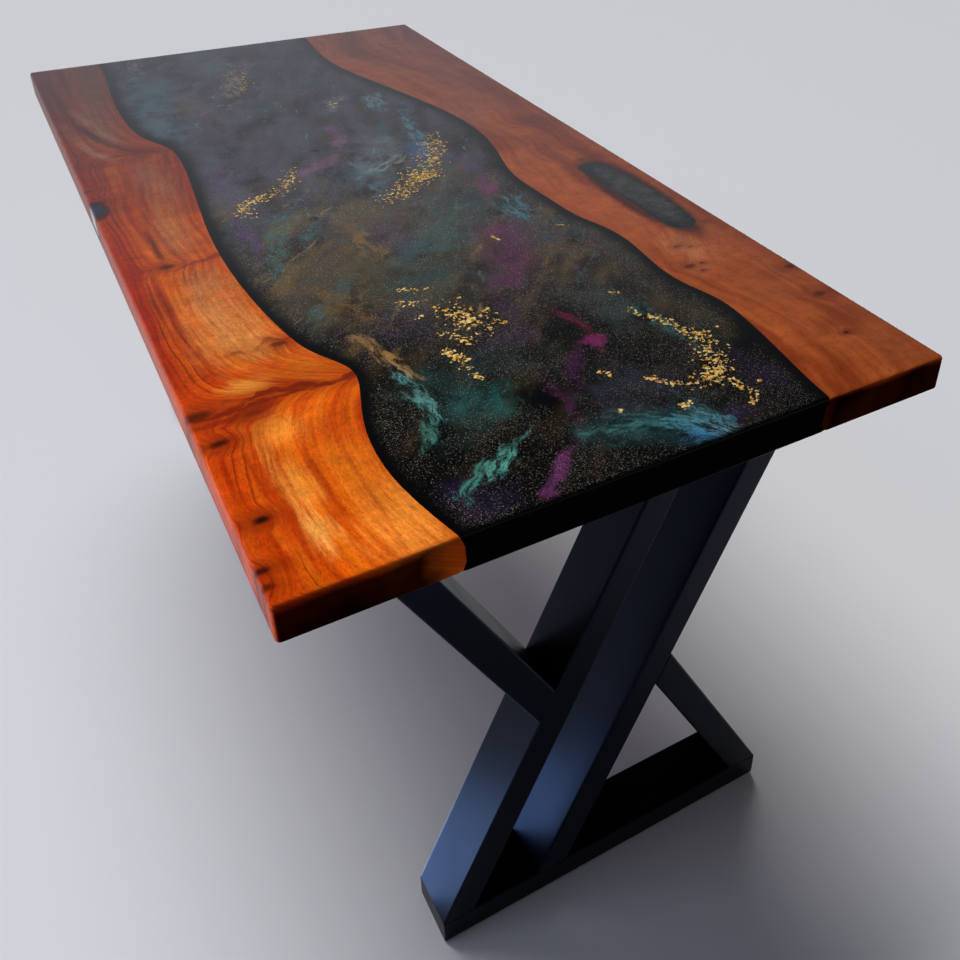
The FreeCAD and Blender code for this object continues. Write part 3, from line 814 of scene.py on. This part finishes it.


# Gold leaf: torn imitation leaf set in the last thin pour. Each flake is a crumpled scrap that dips in and
# out of the surface. The eye gets warm yellow scraps, browner where tarnished, some with painted
# highlights.
# Sizes are in millimetres and tilt is in radians. Crumple, flatness and thickness are shares of a scrap's
# radius. Strokes: points, number of flakes, spread. Plenty multiplies the numbers.
goldLeaf = {
    "colours": ((0.32, "#8A5A14"), (0.64, "#FFF2C0"), (0.42, "#DCA030"), (0.53, "#FFD66C")),
    "crease": 1.4,
    "tarnishAndGlint": 4.5,
    "scraps": 6,
    "corners": 6,
    "crumple": 0.6,
    "flatness": 0.06,
    "thickness": 0.03,
    "sizes": (1.0, 3.9),
    "plenty": 2.1,
    "lift": 0.15,
    "tilt": 0.06,
    "seed": 11,
    "strokes": (
        (((-96, -342), (-76, -350)), 9, 7), (((-106, -370), (-80, -386)), 11, 7),
        (((-64, -354), (-58, -356)), 3, 4), (((-102, -414), (-92, -412)), 3, 4),
        (((-62, -406), (-50, -428), (-54, -452), (-40, -468)), 66, 22),
        (((-26, -436), (-20, -472)), 10, 8), (((-84, -460), (-70, -494)), 18, 9),
        (((-102, -492), (-92, -520), (-94, -544)), 34, 8), (((-96, -548), (-90, -566)), 8, 4),
        (((126, -518), (144, -548), (154, -578), (158, -600)), 46, 9),
        (((166, -598), (162, -630), (154, -652), (134, -672), (112, -682)), 120, 17),
        (((122, -668), (140, -690), (146, -724)), 26, 6), (((96, -676), (74, -660), (62, -644)), 26, 6),
        (((26, -612), (36, -626)), 8, 4), (((66, -708), (80, -706)), 9, 4),
        (((132, -736), (150, -728)), 9, 4), (((166, -708), (170, -706)), 3, 2),
        (((4, -684), (8, -682)), 4, 2), (((128, -468), (136, -472)), 6, 3),
        (((-196, -52), (-192, -10), (-150, 2), (-112, 36), (-94, 84)), 120, 13),
        (((-4, -90), (40, -56), (72, -16), (110, 24), (134, 60), (144, 104)), 260, 24),
        (((60, -40), (96, -30)), 60, 18), (((72, -258), (76, -282)), 7, 4),
        (((168, -274), (174, -280)), 3, 3), (((-20, 610), (-58, 470)), 26, 14),
        (((62, 350), (66, 330)), 10, 8), (((150, 120), (172, 128)), 6, 8),
    ),
}


def leafGold(name, look):
    material, add = newMaterial(name)
    place = add("TexCoord")["Object"]
    creases = add("TexNoise", {}, {0: place, 2: 1 / (look["crease"] * mm), 3: 3.0})[0]
    tarnishAndGlint = add("TexNoise", {}, {0: place, 2: 1 / (look["tarnishAndGlint"] * mm), 3: 2.0})[0]
    # the colour runs from tarnished brown to pale painted highlights
    colour = add("ValToRGB", {}, {0: tarnishAndGlint}, stops=look["colours"])[0]
    relief = add("Bump", {}, {"Strength": 0.8, "Distance": 0.5 * mm, "Height": creases})[0]
    surface = add("BsdfPrincipled", {}, {
        "Base Color": colour, "Metallic": 0.08, "Roughness": 0.30, "Specular IOR Level": 0.9,
        "Normal": relief})[0]
    add("OutputMaterial", {}, {0: surface})
    return material


def tornScraps(look):
    scraps = []
    for number in range(look["scraps"]):
        bpy.ops.object.select_all(action="DESELECT")
        bpy.ops.mesh.primitive_circle_add(vertices=look["corners"], radius=1, fill_type="TRIFAN")
        scrap = bpy.context.object
        bpy.ops.object.mode_set(mode="EDIT")
        bpy.ops.mesh.select_all(action="SELECT")
        bpy.ops.transform.vertex_random(offset=look["crumple"], uniform=0.0, normal=0.0, seed=number)
        bpy.ops.transform.resize(value=(1, 1, look["flatness"]))
        bpy.ops.object.mode_set(mode="OBJECT")
        wall = scrap.modifiers.new("wall", "SOLIDIFY")
        wall.thickness = look["thickness"]
        bpy.ops.object.modifier_apply(modifier=wall.name)
        scraps.append(scrap)
    return scraps


def alongStroke(points, share):
    # a point part of the way along the stroke
    legs = [(Vector(a), Vector(b)) for a, b in zip(points, points[1:])]
    left = share * sum((b - a).length for a, b in legs)
    for start, end in legs:
        length = (end - start).length
        if left <= length:
            break
        left -= length
    return start.lerp(end, min(1.0, left / length))


def scatterLeaf(look):
    pick = random.Random(look["seed"])
    scraps = tornScraps(look)
    flakes = []
    for points, count, spread in look["strokes"]:
        for number in range(round(count * look["plenty"])):
            flake = pick.choice(scraps).copy()
            flake.data = flake.data.copy()
            spot = alongStroke(points, pick.random())
            spot += Vector((pick.gauss(0, spread / 2), pick.gauss(0, spread / 2)))
            size = pick.uniform(*look["sizes"]) * pick.uniform(0.6, 1.0)
            tilt = look["tilt"]
            turn = Euler((pick.gauss(0, tilt), pick.gauss(0, tilt), pick.uniform(0, 2 * math.pi)))
            stretch = Matrix.Diagonal((size * mm, size * mm * pick.uniform(0.5, 1.0), size * mm, 1))
            shift = Matrix.Translation((spot.x * mm, spot.y * mm, topHeight + look["lift"] * mm))
            flake.matrix_world = shift @ turn.to_matrix().to_4x4() @ stretch
            bpy.context.collection.objects.link(flake)
            flakes.append(flake)
    for scrap in scraps:
        bpy.data.objects.remove(scrap)
    bpy.ops.object.select_all(action="DESELECT")
    for flake in flakes:
        flake.select_set(True)
    bpy.context.view_layer.objects.active = flakes[0]
    bpy.ops.object.join()
    leaf = bpy.context.object
    bpy.ops.object.transform_apply(location=True, rotation=True, scale=True)
    leaf.name = leaf.data.name = "gold_leaf"
    leaf.data.materials.append(leafGold("goldLeaf", look))
    return leaf


leaf = scatterLeaf(goldLeaf)
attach(leaf, "root")
print("gold leaf finished:", len(leaf.data.polygons), "faces")


# Studio: a pale floor, a soft sky that is brightest low down, a warm key above the near left corner, a cool
# fill from the left, an even light for the floor alone and a low blue card that gives the near bars' left
# faces their sheen. Sky: share of the way from straight down to straight up, level. Near side: its share.
# Lamps: place, aim and size in metres, power in watts.
studio = {
    "floorSize": 24.0,
    "floor": "#EAE8E4",
    "skyColour": "#E8ECF8",
    "sky": (
        (0.0, 0.52), (0.56, 0.52), (0.63, 0.45), (0.69, 0.37), (0.744, 0.18), (0.78, 0.06), (0.85, 0.015),
        (1.0, 0.015),
    ),
    "nearSide": 0.7,
    "key": {"place": (-1.1, -0.55, 1.75), "aim": (-0.3, -0.5, 0.7), "size": (0.9, 0.9),
            "power": 24, "colour": "#FFF6E6"},
    "fill": {"place": (-2.8, -0.1, 3.4), "aim": (0, 0, 0), "size": (2.0, 2.0),
             "power": 24, "colour": "#C8D6FF"},
    "kicker": {"place": (-0.39, -0.51, 0.01), "aim": (-0.39, -0.51, 1.0), "size": (0.48, 0.24),
               "power": 2.2, "colour": "#95BFFF"},
    "floorLight": {"along": (0.3, -3.1, -4.3), "spread": 40, "strength": 2.7, "colour": "#F4F7FF"},
}


def paleFloor(look):
    material, add = newMaterial("paleFloor")
    surface = add("BsdfPrincipled", {}, {"Base Color": linear(look["floor"]), "Roughness": 0.9})[0]
    add("OutputMaterial", {}, {0: surface})
    bpy.ops.object.select_all(action="DESELECT")
    bpy.ops.mesh.primitive_plane_add(size=look["floorSize"])
    floor = bpy.context.object
    floor.name = "floor"
    floor.data.materials.append(material)
    return floor


def softSky(look):
    world = bpy.data.worlds.new("softSky")
    bpy.context.scene.world = world
    world.use_nodes = True
    world.node_tree.nodes.clear()
    add = partial(addNode, world.node_tree)
    direction = add("TexCoord")["Generated"]
    direction = add("SeparateXYZ", {}, {0: direction})
    nearSide = add("MapRange", smooth,
                   {0: direction["Y"], 1: 0.45, 2: 0.90, 3: look["nearSide"], 4: 1.0})[0]
    share = add("MapRange", {}, {0: direction["Z"], 1: -1.0, 2: 1.0})[0]
    ends = [look["sky"][0], look["sky"][-1]]
    level = add("FloatCurve", {}, {1: share}, curve=ends + list(look["sky"][1:-1]))[0]
    level = add("Math", times, {0: level, 1: nearSide})[0]
    sky = add("Background", {}, {0: linear(look["skyColour"]), 1: level})[0]
    add("OutputWorld", {}, {0: sky})


def hang(name, lamp, colour, along):
    lamp.color = linear(colour)[:3]
    holder = bpy.data.objects.new(name, lamp)
    holder.rotation_euler = Vector(along).to_track_quat("-Z", "Y").to_euler()
    bpy.context.collection.objects.link(holder)
    return holder


def softLight(name, look):
    lamp = bpy.data.lights.new(name, "AREA")
    lamp.shape = "RECTANGLE"
    lamp.size, lamp.size_y = look["size"]
    lamp.energy = look["power"]
    holder = hang(name, lamp, look["colour"], Vector(look["aim"]) - Vector(look["place"]))
    holder.location = look["place"]
    return holder


def evenLight(name, look):
    lamp = bpy.data.lights.new(name, "SUN")
    lamp.energy = look["strength"]
    lamp.angle = math.radians(look["spread"])
    return hang(name, lamp, look["colour"], look["along"])


def linkLight(lamp, pieces, state="INCLUDE"):
    group = bpy.data.collections.new(lamp.name + "Receivers")
    for piece in pieces:
        group.objects.link(piece)
    for link in group.collection_objects:
        link.light_linking.link_state = state
    lamp.light_linking.receiver_collection = group


floor = paleFloor(studio)
softSky(studio)
key = softLight("key", studio["key"])
fill = softLight("fill", studio["fill"])
floorLight = evenLight("floorLight", studio["floorLight"])
kicker = softLight("kicker", studio["kicker"])
for lamp in (key, fill):
    lamp.visible_glossy = False  # seen from the right, the polished top would mirror its square outline
kicker.visible_camera = False
linkLight(floorLight, [floor])  # only the floor
linkLight(key, [floor], "EXCLUDE")  # all but the floor
linkLight(kicker, [cadNodes["near_left_bar"], cadNodes["near_right_bar"]])
bpy.context.scene.view_settings.view_transform = "Standard"

# Camera at the photograph's angle. The picture is cropped off centre, which the shift repeats.
viewpoint = {
    "place": (-0.4780, -1.3817, 1.3636),
    "turn": (58.370, -0.969, -30.297),
    "lens": 38.549,
    "shift": (-0.0896, -0.1525),
}
camera = bpy.data.cameras.new("camera")
camera.lens = viewpoint["lens"]
camera.shift_x, camera.shift_y = viewpoint["shift"]
cameraHolder = bpy.data.objects.new("camera", camera)
cameraHolder.location = viewpoint["place"]
cameraHolder.rotation_euler = [math.radians(angle) for angle in viewpoint["turn"]]
bpy.context.collection.objects.link(cameraHolder)
bpy.context.scene.camera = cameraHolder
print("studio finished")
